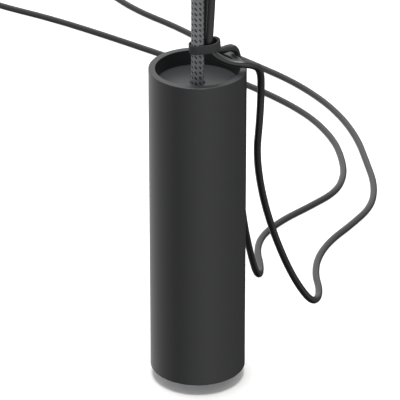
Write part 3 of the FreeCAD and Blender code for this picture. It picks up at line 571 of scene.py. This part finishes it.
for letter, route, middle, leaves in (("a", CABLE_A_ROUTE, COIL_A_MIDDLE, 112.0),
                                      ("b", CABLE_B_ROUTE, COIL_B_MIDDLE, 140.0)):
    points = [Vector(point) for point in route] + wound_points(middle, route[-1], leaves)
    curve = spline_curve("supply_cable_" + letter, points)
    curve.bevel_depth = CABLE_RADIUS
    curve.bevel_resolution = 5
    curve.use_fill_caps = True
    curve.materials.append(cable_pvc)
    cable = bpy.data.objects.new("supply_cable_" + letter, curve)
    cable.visible_shadow = False
    scene.collection.objects.link(cable)
    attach(cable, "weight")
    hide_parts("cable_" + letter, "cable_%s_coil" % letter, "cable_%s_tail" % letter)

# ---------------------------------------------------------------- coil ties
# A hook-and-loop strap closes each coil; it laps over itself on top. The tape is woven nylon, matte, with
# 0.6 mm ribs across it; the hollows between the ribs are painted darker as shade.
RIB_SCALE = 1000 / 0.6 / (2 * math.pi)
TIE_WIDTH = 0.006
TIE_THICKNESS = 0.0007
TIE_CLEAR = 0.00065
COIL_TOP = 0.01316
tie_tape, tree, shader = start_finish("woven_nylon_tape", {
    "Roughness": 0.85, "IOR": 1.5, "Sheen Weight": 0.3, "Sheen Roughness": 0.6})
place = add_node(tree, "ShaderNodeTexCoord").outputs["Object"]
warp = add_node(tree, "ShaderNodeTexWave", {"bands_direction": "X"},
                {"Vector": place, "Scale": RIB_SCALE, "Distortion": 0.3})
weft = add_node(tree, "ShaderNodeTexWave", {"bands_direction": "Y"},
                {"Vector": place, "Scale": RIB_SCALE, "Distortion": 0.3})
weave = add_node(tree, "ShaderNodeMath", {"operation": "MULTIPLY"},
                 {0: warp.outputs["Fac"], 1: weft.outputs["Fac"]})
# The tape's colour follows the weave's relief: the hollows between ribs get the dark colour as painted shade.
ramp = add_node(tree, "ShaderNodeValToRGB", sockets={"Fac": weave.outputs[0]})
set_stops(ramp, [(0.0, linear("#121213")), (0.8, linear("#2a2a2c"))])
relief = add_node(tree, "ShaderNodeBump", sockets={
    "Height": weave.outputs[0], "Strength": 0.7, "Distance": 0.0001})
tree.links.new(ramp.outputs["Color"], shader.inputs["Base Color"])
tree.links.new(relief.outputs["Normal"], shader.inputs["Normal"])


def tie_line(middle, bearing):
    """The tape's middle: round the coil's section and lapped along the top."""
    inner = COIL_OUTER - 2 * COIL_ROW - CABLE_RADIUS - TIE_CLEAR
    outer = COIL_OUTER + CABLE_RADIUS + TIE_CLEAR
    low, high = COIL_LOW - CABLE_RADIUS - TIE_CLEAR, COIL_TOP + TIE_CLEAR
    corner = 0.0016
    turn = math.radians(bearing)
    outward = Vector((math.cos(turn), math.sin(turn), 0))
    spots = [(inner + 0.006, high), (inner + corner + 0.001, high)]
    for x, z, start in ((inner + corner, high - corner, 90), (inner + corner, low + corner, 180),
                        (outer - corner, low + corner, 270), (outer - corner, high - corner, 0)):
        for i in range(5):
            angle = math.radians(start + 22.5 * i)
            spots.append((x + corner * math.cos(angle), z + corner * math.sin(angle)))
    lap = high + 0.0008
    spots += [(outer - 0.004, high), (outer - 0.007, high + 0.0001), (inner + 0.0075, high + 0.0007),
              (inner + 0.005, lap), (inner + 0.0035, lap), (inner + 0.002, lap)]
    line = []
    for (x, z), (next_x, next_z) in zip(spots, spots[1:] + spots[-1:]):
        line.append(Vector((middle[0] + outward.x * x, middle[1] + outward.y * x, z)))
    return line, Vector((outward.y, -outward.x, 0))


for letter, middle, bearing in (("a", COIL_A_MIDDLE, -25.0), ("b", COIL_B_MIDDLE, -15.0)):
    line, across = tie_line(middle, bearing)
    tie = band_mesh("coil_tie_" + letter, line, across, TIE_WIDTH, TIE_THICKNESS, tie_tape)
    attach(tie, "weight")
    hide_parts("cable_%s_coil_tie" % letter)

# ---------------------------------------------------------------- plugs and connectors
# Each cable ends in a flat two-pin plug and begins in a small round inline connector. The bodies are moulded
# in black plastic with a fine spark texture, the strain reliefs in a soft PVC, and the pins are nickelled.
moulded_plug = grained_finish("spark_textured_black_plastic", "#1a1b1c", "#212224", 0.4, 0.02, 0.5, 0.04,
                              IOR=1.53)
contact_plastic = grained_finish("moulded_contact_plastic", "#2b2b2d", "#333335", 0.6, 0.008, 0.45, 0.04,
                                 IOR=1.53)
nickelled_brass = grained_finish("nickelled_brass_pin", "#c6c1b4", "#d6d1c5", 0.8, 0.003, 0.2, 0.04,
                                 Metallic=1.0)
relief_pvc = grained_finish("moulded_relief_pvc", "#202123", "#262729", 0.9, 0.01, 0.52, 0.04, IOR=1.5)
for letter, start in (("a", CABLE_A_ROUTE[0]), ("b", CABLE_B_ROUTE[0])):
    plug, connector = "plug_" + letter, "connector_" + letter
    coat(relief_pvc, plug + "_relief", connector + "_relief")
    coat(moulded_plug, plug + "_body", connector + "_body")
    coat(contact_plastic, connector + "_insert")
    coat(nickelled_brass, plug + "_pins")
